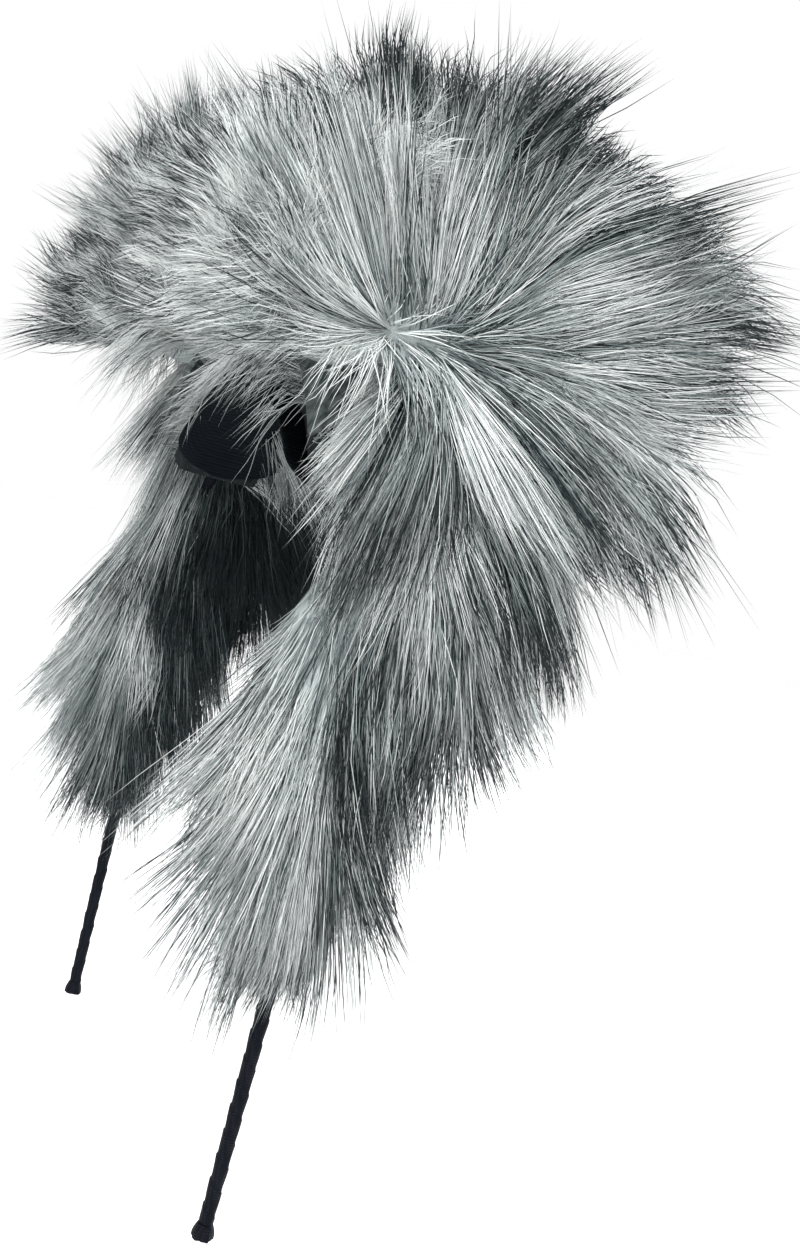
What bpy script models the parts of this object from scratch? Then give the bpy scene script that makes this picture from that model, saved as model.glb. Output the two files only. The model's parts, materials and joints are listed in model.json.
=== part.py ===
"""Animal ears headband: a ribbon-wrapped spring band with long fur sleeves and two furry ears.

Metres, +Z up. The wearer looks along -Y, so the left side of the headband is at +X.
The origin is the flat middle of the lining, where the crown rests on the head.
"""

from math import copysign, cos, pi, radians, sin

import bmesh
import bpy
from mathutils import Matrix, Vector

MM = 0.001
GAP = 0.3 * MM  # air between pieces that touch

# The band: half a circle over the head, then two nearly straight arms
ARC_RADIUS = 58 * MM
ARM_DROP = 82 * MM  # height of an arm below the half circle
ARM_IN = 2.3 * MM  # how far a tip leans in
CORE_RADIUS = 0.6 * MM
RIBBON_RADIUS = 1.25 * MM
CHANNEL_RADIUS = RIBBON_RADIUS + GAP
ARC_LENGTH = ARC_RADIUS * pi / 2
BAND_END = ARC_LENGTH + ARM_DROP
CAP_RADIUS = 1.6 * MM
CAP_LENGTH = 2.4 * MM
BARE_LENGTH = 43 * MM  # band that shows below the fur

# The crown: fur sleeve and lining, stacked inwards from the band
SLEEVE_FLOOR = 4 * MM  # band centre to the flat underside of the crown sleeve
CROWN_FUR_RADIUS = 14 * MM
LINING_THICKNESS = 3 * MM
LINING_HALF_WIDTH = 12 * MM
LINING_HALF_ANGLE = radians(50)
LINING_FLAT = 6 * MM  # half the length of the flat middle
LINING_DEPTH = SLEEVE_FLOOR + GAP + LINING_THICKNESS  # band centre to the head
ARC_CENTRE_Z = LINING_DEPTH - ARC_RADIUS

# The shoulders, where the band flexes as the arms open
SHOULDER_ANGLE = radians(66)
SHOULDER_CLEARANCE = radians(3.3)
ARM_FUR_START = ARC_RADIUS * (SHOULDER_ANGLE + SHOULDER_CLEARANCE)
HEM_LENGTH = 6 * MM
ARM_FUR_END = BAND_END - BARE_LENGTH - HEM_LENGTH

# The ears, each sewn to a seat on the crown
EAR_ANGLE = radians(35)  # place on the half circle
EAR_LEAN = radians(17)  # outwards from upright
SEAT_THICKNESS = 1 * MM
SEAT_HALF_LENGTH = 13 * MM
SEAT_HALF_ANGLE = radians(62)
EAR_BASE = CROWN_FUR_RADIUS + GAP + SEAT_THICKNESS + 0.6 * MM  # hinge axis to the ear's underside
EAR_CENTRE_HEIGHT = 20 * MM  # widest part of the ear above its underside
EAR_HALF_WIDTH = 27 * MM
EAR_HALF_HEIGHT = 26 * MM
EAR_BACK_DEPTH = 50 * MM
EAR_FRONT_DEPTH = 37 * MM
STIFFENER_THICKNESS = 1.2 * MM
THREAD_RADIUS = 0.35 * MM

PARTS_NAME = "animal_ears_headband"
SIDES = {"left": 1, "right": -1}
ARM_PIECES = ("band_core", "band_ribbon", "arm_fur_sleeve", "sleeve_hem", "tip_cap")
EAR_PIECES = ("ear_back_fur", "ear_front_plush", "ear_stiffener", "ear_edge_thread")


def clear_scene():
    for item in list(bpy.data.objects):
        bpy.data.objects.remove(item, do_unlink=True)
    for mesh in list(bpy.data.meshes):
        bpy.data.meshes.remove(mesh)


def collection(name):
    group = bpy.data.collections.new(name)
    bpy.context.scene.collection.children.link(group)
    return group


def material(name, colour, roughness, metallic=0.0):
    made = bpy.data.materials.new(name)
    made.use_nodes = True
    shader = made.node_tree.nodes["Principled BSDF"]
    shader.inputs["Base Color"].default_value = (*colour, 1)
    shader.inputs["Roughness"].default_value = roughness
    shader.inputs["Metallic"].default_value = metallic
    made.diffuse_color = (*colour, 1)
    return made


def band_point(distance):
    """Centre and outward normal of the band, at a distance along it from its top."""
    if abs(distance) <= ARC_LENGTH:
        angle = distance / ARC_RADIUS
        normal = Vector((sin(angle), 0, cos(angle)))
        return Vector((0, 0, ARC_CENTRE_Z)) + normal * ARC_RADIUS, normal
    side = copysign(1, distance)
    drop = abs(distance) - ARC_LENGTH
    lean = ARM_IN * (drop / ARM_DROP) ** 2
    slope = 2 * ARM_IN * drop / ARM_DROP**2
    centre = Vector((side * (ARC_RADIUS - lean), 0, ARC_CENTRE_Z - drop))
    return centre, Vector((side, 0, -slope)).normalized()


def spread(first, last, count):
    return [first + (last - first) * step / (count - 1) for step in range(count)]


def add_ring(mesh, points):
    return [mesh.verts.new(point) for point in points]


def bridge(mesh, rings):
    """Skins the rings in turn, corner to corner."""
    for first, second in zip(rings, rings[1:]):
        for i in range(len(first)):
            mesh.faces.new((first[i - 1], first[i], second[i], second[i - 1]))


def close_ends(mesh, rings):
    mesh.faces.new(rings[0])
    mesh.faces.new(rings[-1])


def finish_mesh(name, mesh, look, group, smooth=True):
    bmesh.ops.remove_doubles(mesh, verts=mesh.verts, dist=1e-7)
    bmesh.ops.recalc_face_normals(mesh, faces=mesh.faces)
    data = bpy.data.meshes.new(name)
    mesh.to_mesh(data)
    mesh.free()
    data.materials.append(look)
    if smooth:
        data.shade_smooth()
    made = bpy.data.objects.new(name, data)
    group.objects.link(made)
    return made


def section(distance, outline, count):
    """Points round the band at one place. The outline gives (y, outward) for a distance and a turn angle."""
    centre, normal = band_point(distance)
    points = []
    for step in range(count):
        across, out = outline(distance, 2 * pi * step / count)
        points.append(centre + Vector((0, across, 0)) + normal * out)
    return points


def round_outline(radius):
    return lambda distance, turn: (radius * cos(turn), radius * sin(turn))


def add_rings(mesh, places, outline, count):
    return [add_ring(mesh, section(place, outline, count)) for place in places]


def sleeve(name, places, outline, bore, count, look, group):
    """A thick tube that follows the band, with a round bore."""
    mesh = bmesh.new()
    outer = add_rings(mesh, places, outline, count)
    inner = add_rings(mesh, places, round_outline(bore), count)
    bridge(mesh, outer)
    bridge(mesh, inner)
    bridge(mesh, [outer[0], inner[0]])
    bridge(mesh, [outer[-1], inner[-1]])
    return finish_mesh(name, mesh, look, group)


def rod(name, places, radius, look, group):
    """A solid round bar that follows the band."""
    mesh = bmesh.new()
    rings = add_rings(mesh, places, round_outline(radius), 8)
    bridge(mesh, rings)
    close_ends(mesh, rings)
    return finish_mesh(name, mesh, look, group)


def add_band(group, looks):
    """Core and ribbon, each in three lengths that meet at the shoulders."""
    shoulder = ARC_RADIUS * SHOULDER_ANGLE
    spans = {
        "NAME_crown": (-shoulder + GAP, shoulder - GAP, 33),
        "left_NAME": (shoulder + GAP, BAND_END, 19),
        "right_NAME": (-shoulder - GAP, -BAND_END, 19),
    }
    for node, (first, last, count) in spans.items():
        places = spread(first, last, count)
        rod(node.replace("NAME", "band_core"), places, CORE_RADIUS, looks["steel"], group)
        ribbon = node.replace("NAME", "band_ribbon")
        bore = CORE_RADIUS + GAP / 2
        sleeve(ribbon, places, round_outline(RIBBON_RADIUS), bore, 12, looks["ribbon"], group)


def add_tip_cap(side_name, side, group, look):
    """The flared end of the ribbon, turned round the band's own direction."""
    rim = CAP_RADIUS
    profile = [(0, 0), (RIBBON_RADIUS, 0), (rim, 0.45), (rim, 0.8), (0.7 * rim, 1), (0, 1)]
    mesh = bmesh.new()
    corners = [mesh.verts.new((radius, 0, -CAP_LENGTH * part)) for radius, part in profile]
    for first, second in zip(corners, corners[1:]):
        mesh.edges.new((first, second))
    cap = finish_mesh(f"{side_name}_tip_cap", mesh, look, group)
    turn = cap.modifiers.new("turn", "SCREW")
    turn.steps = 16
    turn.render_steps = 16
    turn.use_merge_vertices = True
    turn.merge_threshold = 1e-5
    turn.use_normal_calculate = True
    centre, _ = band_point(side * BAND_END)
    cap.location = centre - Vector((0, 0, GAP))


def crown_outline(distance, turn):
    """Fur over the crown: round, wider at the back near the shoulders, flat where the lining lies."""
    seat_end = ARC_RADIUS * EAR_ANGLE + SEAT_HALF_LENGTH
    down = max(0, (abs(distance) - seat_end) / (ARC_RADIUS * SHOULDER_ANGLE - seat_end)) ** 2
    back = CROWN_FUR_RADIUS + 11 * MM * down
    front = CROWN_FUR_RADIUS - 2 * MM * down
    out = CROWN_FUR_RADIUS + 2 * MM * down
    across = (back if cos(turn) > 0 else front) * cos(turn)
    return across, max(out * sin(turn), -SLEEVE_FLOOR)


def arm_outline(distance, turn):
    """Fur round an arm: wide at the back near the crown, drawn in towards the bare end."""
    down = (abs(distance) - ARM_FUR_START) / (ARM_FUR_END - ARM_FUR_START)
    back = (29 - 6 * down - 12 * down**4) * MM
    front = (11 + 9 * sin(pi * min(down * 0.75, 1)) - 8 * down**4) * MM
    out = (17 + 3 * sin(pi * down) - 8 * down**4) * MM
    inward = (9 - 3.5 * down**3) * MM
    across = (back if cos(turn) > 0 else front) * cos(turn)
    return across, (out if sin(turn) > 0 else inward) * sin(turn)


def hem_outline(distance, turn):
    """Base cloth gathered on the band in eight pleats, tighter towards the tip."""
    down = (abs(distance) - ARM_FUR_END - GAP) / HEM_LENGTH
    radius = (4.2 - 1.6 * down) * MM + 0.35 * MM * cos(8 * turn)
    return radius * cos(turn), radius * sin(turn)


def add_fur_sleeves(group, looks):
    end = ARC_RADIUS * (SHOULDER_ANGLE - SHOULDER_CLEARANCE)
    sleeve("crown_fur_sleeve", spread(-end, end, 25), crown_outline, CHANNEL_RADIUS, 20, looks["fur"], group)
    for name, side in SIDES.items():
        places = spread(side * ARM_FUR_START, side * ARM_FUR_END, 13)
        sleeve(f"{name}_arm_fur_sleeve", places, arm_outline, CHANNEL_RADIUS, 24, looks["fur"], group)
        hem_start = side * (ARM_FUR_END + GAP)
        places = spread(hem_start, hem_start + side * HEM_LENGTH, 4)
        sleeve(f"{name}_sleeve_hem", places, hem_outline, CHANNEL_RADIUS, 32, looks["hem"], group)


def add_lining(group, look):
    """A pad under the crown, with a flat middle that lies on the head at z = 0."""
    end = ARC_RADIUS * LINING_HALF_ANGLE
    half = spread(LINING_FLAT, end, 9)
    mesh = bmesh.new()
    rings = []
    for distance in [-d for d in reversed(half)] + half:
        centre, normal = band_point(distance)
        corners = []
        top = -(SLEEVE_FLOOR + GAP)
        edge = 1 * MM
        for across, out in (
            (-LINING_HALF_WIDTH, top),
            (LINING_HALF_WIDTH, top),
            (LINING_HALF_WIDTH, -LINING_DEPTH + edge),
            (LINING_HALF_WIDTH - edge, -LINING_DEPTH),
            (-LINING_HALF_WIDTH + edge, -LINING_DEPTH),
            (-LINING_HALF_WIDTH, -LINING_DEPTH + edge),
        ):
            corner = centre + Vector((0, across, 0)) + normal * out
            if abs(distance) <= LINING_FLAT and out == -LINING_DEPTH:
                corner.z = 0
            corners.append(corner)
        rings.append(add_ring(mesh, corners))
    bridge(mesh, rings)
    close_ends(mesh, rings)
    return finish_mesh("crown_lining", mesh, look, group, smooth=False)


def add_ear_seat(name, side, group, look):
    """A thin cloth saddle on the crown sleeve, under one ear."""
    middle = side * ARC_RADIUS * EAR_ANGLE
    low = CROWN_FUR_RADIUS + GAP
    high = low + SEAT_THICKNESS
    turns = spread(-SEAT_HALF_ANGLE, SEAT_HALF_ANGLE, 13)
    mesh = bmesh.new()
    rings = []
    for distance in spread(middle - SEAT_HALF_LENGTH, middle + SEAT_HALF_LENGTH, 9):
        centre, normal = band_point(distance)
        lower = [centre + Vector((0, low * sin(turn), 0)) + normal * low * cos(turn) for turn in turns]
        upper = [centre + Vector((0, high * sin(turn), 0)) + normal * high * cos(turn) for turn in turns]
        rings.append(add_ring(mesh, lower + upper[::-1]))
    bridge(mesh, rings)
    close_ends(mesh, rings)
    return finish_mesh(f"{name}_ear_seat", mesh, look, group)


def ear_frame(side):
    """The ear's hinge point on the band, and its sideways, upward and base directions."""
    pivot, base_normal = band_point(side * ARC_RADIUS * EAR_ANGLE)
    up = Vector((side * sin(EAR_LEAN), 0, cos(EAR_LEAN)))
    sideways = Vector((cos(EAR_LEAN), 0, -side * sin(EAR_LEAN)))
    return pivot, sideways, up, base_normal


def cut_off(mesh, place, direction):
    """Removes what lies beyond a plane and closes the cut."""
    everything = mesh.verts[:] + mesh.edges[:] + mesh.faces[:]
    cut = bmesh.ops.bisect_plane(mesh, geom=everything, plane_co=place, plane_no=direction, clear_outer=True)
    rim = [item for item in cut["geom_cut"] if isinstance(item, bmesh.types.BMEdge)]
    bmesh.ops.edgeloop_fill(mesh, edges=rim)


def add_ear_half(node, side, depth, facing, look, group):
    """Half of a furry dome: cut flat where it is sewn to the other half, and at its underside."""
    pivot, sideways, up, base_normal = ear_frame(side)
    centre = pivot + base_normal * EAR_BASE + up * EAR_CENTRE_HEIGHT
    axes = Matrix((sideways * EAR_HALF_WIDTH, Vector((0, depth, 0)), up * EAR_HALF_HEIGHT)).transposed()
    mesh = bmesh.new()
    bmesh.ops.create_uvsphere(mesh, u_segments=24, v_segments=14, radius=1)
    for corner in mesh.verts:
        narrowing = 1 - 0.22 * corner.co.z if corner.co.z > 0 else 1
        flat = Vector((corner.co.x * narrowing, corner.co.y, corner.co.z))
        corner.co = centre + axes @ flat
    seam = Vector((0, facing * (STIFFENER_THICKNESS / 2 + GAP), 0))
    cut_off(mesh, seam, Vector((0, -facing, 0)))
    cut_off(mesh, pivot + base_normal * EAR_BASE, -base_normal)
    return finish_mesh(node, mesh, look, group)


def ear_outline(count, width, height):
    """Half the ear's edge as (sideways, up): an arc that narrows to a rounded point."""
    points = []
    for turn in spread(-0.18 * pi, pi / 2, count):
        points.append((width * cos(turn) * (1 - 0.18 * max(sin(turn), 0)), height * sin(turn)))
    return points


def add_stiffener(name, side, group, look):
    """A flat felt sheet inside the ear."""
    pivot, sideways, up, base_normal = ear_frame(side)
    half = ear_outline(9, 19 * MM, 20 * MM)
    outline = half + [(-across, high) for across, high in reversed(half[:-1])]
    node = f"{name}_ear_stiffener"
    curve = bpy.data.curves.new(node, "CURVE")
    curve.dimensions = "2D"
    curve.fill_mode = "BOTH"
    curve.extrude = STIFFENER_THICKNESS / 2
    line = curve.splines.new("POLY")
    line.points.add(len(outline) - 1)
    for point, (across, high) in zip(line.points, outline):
        point.co = (across, high, 0, 1)
    line.use_cyclic_u = True
    curve.materials.append(look)
    plate = bpy.data.objects.new(node, curve)
    group.objects.link(plate)
    centre = pivot + base_normal * EAR_BASE + up * EAR_CENTRE_HEIGHT
    facing = sideways.cross(up)
    turned = Matrix((sideways, up, facing)).transposed().to_4x4()
    plate.matrix_world = Matrix.Translation(centre) @ turned


def add_edge_thread(name, side, group, look):
    """The thread that closes the ear's edge, a running stitch just outside the stiffener."""
    pivot, sideways, up, base_normal = ear_frame(side)
    centre = pivot + base_normal * EAR_BASE + up * EAR_CENTRE_HEIGHT
    half = ear_outline(27, 21 * MM, 22 * MM)
    outline = half + [(-across, high) for across, high in reversed(half[:-1])]
    node = f"{name}_ear_edge_thread"
    curve = bpy.data.curves.new(node, "CURVE")
    curve.dimensions = "3D"
    curve.bevel_depth = THREAD_RADIUS
    curve.bevel_resolution = 2
    curve.use_fill_caps = True
    line = curve.splines.new("POLY")
    line.points.add(len(outline) - 1)
    for step, (point, (across, high)) in enumerate(zip(line.points, outline)):
        stitch = 1 + 0.03 * (step % 2)
        place = centre + sideways * across * stitch + up * high * stitch
        point.co = (*place, 1)
    curve.materials.append(look)
    thread = bpy.data.objects.new(node, curve)
    group.objects.link(thread)


def hang_on_pivot(name, place, nodes, group):
    """Parents the pieces that move together to an empty on their joint's axis."""
    pivot = bpy.data.objects.new(name, None)
    pivot.empty_display_size = 10 * MM
    pivot.location = place
    group.objects.link(pivot)
    for node in nodes:
        piece = bpy.data.objects[node]
        piece.parent = pivot
        piece.matrix_parent_inverse = Matrix.Translation(-place)


def main():
    clear_scene()
    parts = collection(PARTS_NAME)
    looks = {
        "steel": material("steel", (0.35, 0.36, 0.38), 0.35, 1.0),
        "ribbon": material("ribbon", (0.02, 0.025, 0.045), 0.6),
        "fur": material("fur", (0.42, 0.45, 0.45), 0.9),
        "plush": material("plush", (0.66, 0.69, 0.69), 0.9),
        "lining": material("lining", (0.012, 0.014, 0.02), 0.85),
        "hem": material("hem", (0.03, 0.035, 0.05), 0.85),
        "felt": material("felt", (0.5, 0.52, 0.52), 0.95),
        "thread": material("thread", (0.55, 0.58, 0.58), 0.7),
    }
    add_band(parts, looks)
    add_fur_sleeves(parts, looks)
    add_lining(parts, looks["lining"])
    for name, side in SIDES.items():
        add_tip_cap(name, side, parts, looks["ribbon"])
        add_ear_seat(name, side, parts, looks["hem"])
        add_ear_half(f"{name}_ear_back_fur", side, EAR_BACK_DEPTH, 1, looks["fur"], parts)
        add_ear_half(f"{name}_ear_front_plush", side, EAR_FRONT_DEPTH, -1, looks["plush"], parts)
        add_stiffener(name, side, parts, looks["felt"])
        add_edge_thread(name, side, parts, looks["thread"])
        shoulder, _ = band_point(side * ARC_RADIUS * SHOULDER_ANGLE)
        hang_on_pivot(f"{name}_shoulder", shoulder, [f"{name}_{piece}" for piece in ARM_PIECES], parts)
        ear_root, _ = band_point(side * ARC_RADIUS * EAR_ANGLE)
        hang_on_pivot(f"{name}_ear_root", ear_root, [f"{name}_{piece}" for piece in EAR_PIECES], parts)


main()
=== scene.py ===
"""Looks of the animal ears headband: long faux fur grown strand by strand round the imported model.

Metres, +Z up. The wearer looks along -Y and the wearer's left is +X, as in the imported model.
"""

import json
from math import pi, radians

import bmesh
import bpy
import numpy as np
from mathutils import Matrix, Vector
from mathutils.kdtree import KDTree

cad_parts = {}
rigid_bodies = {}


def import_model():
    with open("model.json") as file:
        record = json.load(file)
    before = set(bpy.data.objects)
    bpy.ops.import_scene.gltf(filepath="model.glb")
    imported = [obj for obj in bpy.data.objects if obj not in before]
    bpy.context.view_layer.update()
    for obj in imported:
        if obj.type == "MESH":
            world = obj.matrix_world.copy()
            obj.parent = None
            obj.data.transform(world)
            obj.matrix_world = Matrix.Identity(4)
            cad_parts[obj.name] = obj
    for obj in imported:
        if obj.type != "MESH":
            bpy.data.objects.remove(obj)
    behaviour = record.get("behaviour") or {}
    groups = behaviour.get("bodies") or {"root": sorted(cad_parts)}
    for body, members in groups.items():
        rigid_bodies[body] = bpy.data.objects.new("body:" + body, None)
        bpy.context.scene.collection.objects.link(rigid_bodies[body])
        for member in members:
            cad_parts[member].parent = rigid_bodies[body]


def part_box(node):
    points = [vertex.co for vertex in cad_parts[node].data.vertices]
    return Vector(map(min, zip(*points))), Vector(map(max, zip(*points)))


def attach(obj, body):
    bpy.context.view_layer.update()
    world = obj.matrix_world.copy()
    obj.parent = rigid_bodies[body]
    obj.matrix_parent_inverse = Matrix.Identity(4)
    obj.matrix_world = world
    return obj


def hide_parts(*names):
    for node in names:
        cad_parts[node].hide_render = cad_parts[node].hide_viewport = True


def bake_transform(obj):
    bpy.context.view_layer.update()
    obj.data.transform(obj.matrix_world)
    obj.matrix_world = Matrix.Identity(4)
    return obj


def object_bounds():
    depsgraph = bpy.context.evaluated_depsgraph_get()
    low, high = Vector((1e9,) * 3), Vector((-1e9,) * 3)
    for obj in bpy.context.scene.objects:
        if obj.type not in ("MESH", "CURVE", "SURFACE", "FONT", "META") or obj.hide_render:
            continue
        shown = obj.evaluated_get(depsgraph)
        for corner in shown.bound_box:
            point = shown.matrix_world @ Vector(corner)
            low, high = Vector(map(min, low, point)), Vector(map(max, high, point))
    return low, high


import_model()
cad_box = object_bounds()

MM = 0.001
SIDES = {"left": 1, "right": -1}

# The band's line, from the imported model: half a circle, then two nearly straight arms
crown_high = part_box("band_core_crown")[1]
arm_low, arm_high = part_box("left_band_core")
cap_low, cap_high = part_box("left_tip_cap")
CORE_RADIUS = crown_high[1]
ARC_RADIUS = arm_high[0] - CORE_RADIUS
ARC_CENTRE_Z = crown_high[2] - CORE_RADIUS - ARC_RADIUS
ARM_DROP = ARC_CENTRE_Z - arm_low[2]
ARM_IN = ARC_RADIUS - (cap_low[0] + cap_high[0]) / 2
ARC_LENGTH = ARC_RADIUS * pi / 2
BAND_END = ARC_LENGTH + ARM_DROP

SHOULDER_ANGLE = radians(66)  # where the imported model's band is cut for the shoulder hinge
SHOULDER = ARC_RADIUS * SHOULDER_ANGLE

# Strands are thin three-sided tubes, with rings at these shares of their length
RING_AT = np.array([0, 0.26, 0.52, 0.78, 1.0])
RINGS = len(RING_AT) - 1
SIDES_A_STRAND = 3
STRANDS_A_PIECE = 8800  # keeps a piece under 200,000 triangles
STRAND_RADIUS = 0.12 * MM  # thicker than a hair: a strand stands for a few
FRINGE_RADIUS = 0.09 * MM
MARGIN = 11.4 * MM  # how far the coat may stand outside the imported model

# How many strands each part asks for
BACK_STRANDS = 20500
PLUSH_STRANDS = 12500
WHORL_STRANDS = 600
ARM_STRANDS = 19000
CROWN_STRANDS = 8000
FRINGE_STRANDS = 260

# How far round the half circle the crown's pieces go, from its top
CROWN_FUR_REACH = ARC_RADIUS * radians(54)
CROWN_PELT_REACH = ARC_RADIUS * radians(52)
LINING_REACH = ARC_RADIUS * radians(51)
FRINGE_ANGLE = radians(34)

# A strand's chart column stands for its shade and for how far up it turns dark
SHADES = 4
DARK_STARTS = 4
NEVER_DARK = DARK_STARTS - 1
UV_NAME = "OFBake"
NAP = "nap"  # the map that runs along the ground's nap


# ---------------------------------------------------------------- node materials


def new_material(name):
    made = bpy.data.materials.new(name)
    made.use_nodes = True
    tree = made.node_tree
    return made, tree, tree.nodes["Principled BSDF"]


def add(tree, kind, **values):
    """A new node with the given settings."""
    node = tree.nodes.new(kind)
    for setting, value in values.items():
        setattr(node, setting, value)
    return node


def math_node(tree, operation, first, second=None):
    node = add(tree, "ShaderNodeMath", operation=operation)
    for socket, value in zip(node.inputs, (first, second)):
        if value is None:
            continue
        if isinstance(value, (int, float)):
            socket.default_value = value
        else:
            tree.links.new(value, socket)
    return node.outputs[0]


def map_range(tree, value, low, high, to_low=0.0, to_high=1.0, smooth=False):
    node = add(tree, "ShaderNodeMapRange", interpolation_type="SMOOTHSTEP" if smooth else "LINEAR")
    for name, number in (("From Min", low), ("From Max", high), ("To Min", to_low), ("To Max", to_high)):
        if isinstance(number, (int, float)):
            node.inputs[name].default_value = number
        else:
            tree.links.new(number, node.inputs[name])
    tree.links.new(value, node.inputs["Value"])
    return node.outputs["Result"]


def ramp(tree, value, stops):
    node = add(tree, "ShaderNodeValToRGB")
    elements = node.color_ramp.elements
    elements[0].position, elements[0].color = stops[0][0], (*stops[0][1], 1)
    elements[1].position, elements[1].color = stops[-1][0], (*stops[-1][1], 1)
    for position, colour in stops[1:-1]:
        elements.new(position).color = (*colour, 1)
    tree.links.new(value, node.inputs["Fac"])
    return node.outputs["Color"]


def mix(tree, share, first, second):
    node = add(tree, "ShaderNodeMix", data_type="RGBA")
    for socket, value in zip((node.inputs[0], node.inputs[6], node.inputs[7]), (share, first, second)):
        if isinstance(value, (int, float)):
            socket.default_value = value
        elif isinstance(value, tuple):
            socket.default_value = (*value, 1)
        else:
            tree.links.new(value, socket)
    return node.outputs[2]


def strand_material():
    """Pale fur with dark tips. The chart's column gives the shade and where the dark starts."""
    made, tree, shader = new_material("fur_strands")
    chart = add(tree, "ShaderNodeUVMap", uv_map=UV_NAME)
    parts = add(tree, "ShaderNodeSeparateXYZ")
    tree.links.new(chart.outputs[0], parts.inputs[0])
    across, along = parts.outputs[0], parts.outputs[1]
    stops = (
        (0.0, (0.018, 0.030, 0.033)),
        (0.33, (0.12, 0.148, 0.15)),
        (0.66, (0.31, 0.345, 0.345)),
        (1.0, (0.70, 0.73, 0.72)),
    )
    pale = ramp(tree, across, stops)
    # Painted shade deep in the coat: each strand darkens towards its root.
    painted_root_shade = mix(tree, map_range(tree, along, 0.0, 0.4, 0.5, 0.0, smooth=True), pale, (0.10, 0.13, 0.135))
    place = math_node(tree, "FRACT", math_node(tree, "MULTIPLY", across, SHADES))
    start = map_range(tree, place, 0, 1, -0.02, 1.25)
    dark_end = math_node(tree, "ADD", start, 0.3)
    darkness = map_range(tree, along, start, dark_end, 0.0, 0.96, smooth=True)
    colour = mix(tree, darkness, painted_root_shade, (0.008, 0.013, 0.015))
    tree.links.new(colour, shader.inputs["Base Color"])
    shader.inputs["Roughness"].default_value = 0.6
    shader.inputs["Specular IOR Level"].default_value = 0.12
    return made


def pelt_material(name, dark, pale, scale, stretch=(1, 1, 0.22), chart=None, inside=None):
    """The matted ground of the fur: streaks along the nap, with a bump to match.

    chart names the map that runs with the nap, and inside is a painted shade colour that it takes near the
    head.
    """
    made, tree, shader = new_material(name)
    place = add(tree, "ShaderNodeTexCoord").outputs["Object"]
    source = add(tree, "ShaderNodeUVMap", uv_map=chart).outputs[0] if chart else place
    stretched = add(tree, "ShaderNodeMapping")
    stretched.inputs["Scale"].default_value = [scale * share for share in stretch]
    tree.links.new(source, stretched.inputs["Vector"])
    streaks = add(tree, "ShaderNodeTexNoise")
    streaks.inputs["Scale"].default_value = 1.0
    streaks.inputs["Detail"].default_value = 6.0
    tree.links.new(stretched.outputs[0], streaks.inputs["Vector"])
    colour = ramp(tree, streaks.outputs["Fac"], ((0.3, dark), (0.7, pale)))
    # Painted shade: near the head, the ground turns to the inside colour.
    if inside:
        parts = add(tree, "ShaderNodeSeparateXYZ")
        tree.links.new(place, parts.inputs[0])
        sideways = math_node(tree, "ABSOLUTE", parts.outputs[0])
        share = map_range(tree, sideways, INSIDE_X - 3 * MM, INSIDE_X + 4 * MM, 1.0, 0.0, smooth=True)
        colour = mix(tree, share, colour, inside)
    tree.links.new(colour, shader.inputs["Base Color"])
    bump = add(tree, "ShaderNodeBump")
    bump.inputs["Strength"].default_value = 0.6
    bump.inputs["Distance"].default_value = 0.5 * MM
    tree.links.new(streaks.outputs["Fac"], bump.inputs["Height"])
    tree.links.new(bump.outputs[0], shader.inputs["Normal"])
    shader.inputs["Roughness"].default_value = 0.9
    shader.inputs["Specular IOR Level"].default_value = 0.1
    return made


def cloth_material(name, dark, pale, threads, roughness, depth=0.12 * MM, gloss=0.12):
    """Woven cloth: two crossed sets of threads, with a slow change of tone."""
    made, tree, shader = new_material(name)
    place = add(tree, "ShaderNodeTexCoord").outputs["Object"]
    waves = []
    for direction in ("X", "Z"):
        wave = add(tree, "ShaderNodeTexWave", bands_direction=direction)
        wave.inputs["Scale"].default_value = threads
        wave.inputs["Distortion"].default_value = 1.5
        wave.inputs["Detail"].default_value = 2.0
        tree.links.new(place, wave.inputs["Vector"])
        waves.append(wave.outputs["Fac"])
    weave = math_node(tree, "MULTIPLY", *waves)
    tone = add(tree, "ShaderNodeTexNoise")
    tone.inputs["Scale"].default_value = 90.0
    tone.inputs["Detail"].default_value = 5.0
    tree.links.new(place, tone.inputs["Vector"])
    both = math_node(tree, "MULTIPLY", math_node(tree, "ADD", weave, tone.outputs["Fac"]), 0.5)
    tree.links.new(ramp(tree, both, ((0.15, dark), (0.75, pale))), shader.inputs["Base Color"])
    bump = add(tree, "ShaderNodeBump")
    bump.inputs["Strength"].default_value = 0.7
    bump.inputs["Distance"].default_value = depth
    tree.links.new(weave, bump.inputs["Height"])
    tree.links.new(bump.outputs[0], shader.inputs["Normal"])
    worn = map_range(tree, tone.outputs["Fac"], 0.3, 0.7, roughness - 0.1, roughness)
    tree.links.new(worn, shader.inputs["Roughness"])
    shader.inputs["Specular IOR Level"].default_value = gloss
    return made


def steel_material():
    made, tree, shader = new_material("spring_steel")
    place = add(tree, "ShaderNodeTexCoord").outputs["Object"]
    scratch = add(tree, "ShaderNodeTexNoise")
    scratch.inputs["Scale"].default_value = 400.0
    tree.links.new(place, scratch.inputs["Vector"])
    colour = ramp(tree, scratch.outputs["Fac"], ((0.3, (0.3, 0.31, 0.33)), (0.7, (0.5, 0.51, 0.53))))
    tree.links.new(colour, shader.inputs["Base Color"])
    worn = map_range(tree, scratch.outputs["Fac"], 0.3, 0.7, 0.25, 0.45)
    tree.links.new(worn, shader.inputs["Roughness"])
    shader.inputs["Metallic"].default_value = 1.0
    return made


# ---------------------------------------------------------------- shapes along the band


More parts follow.
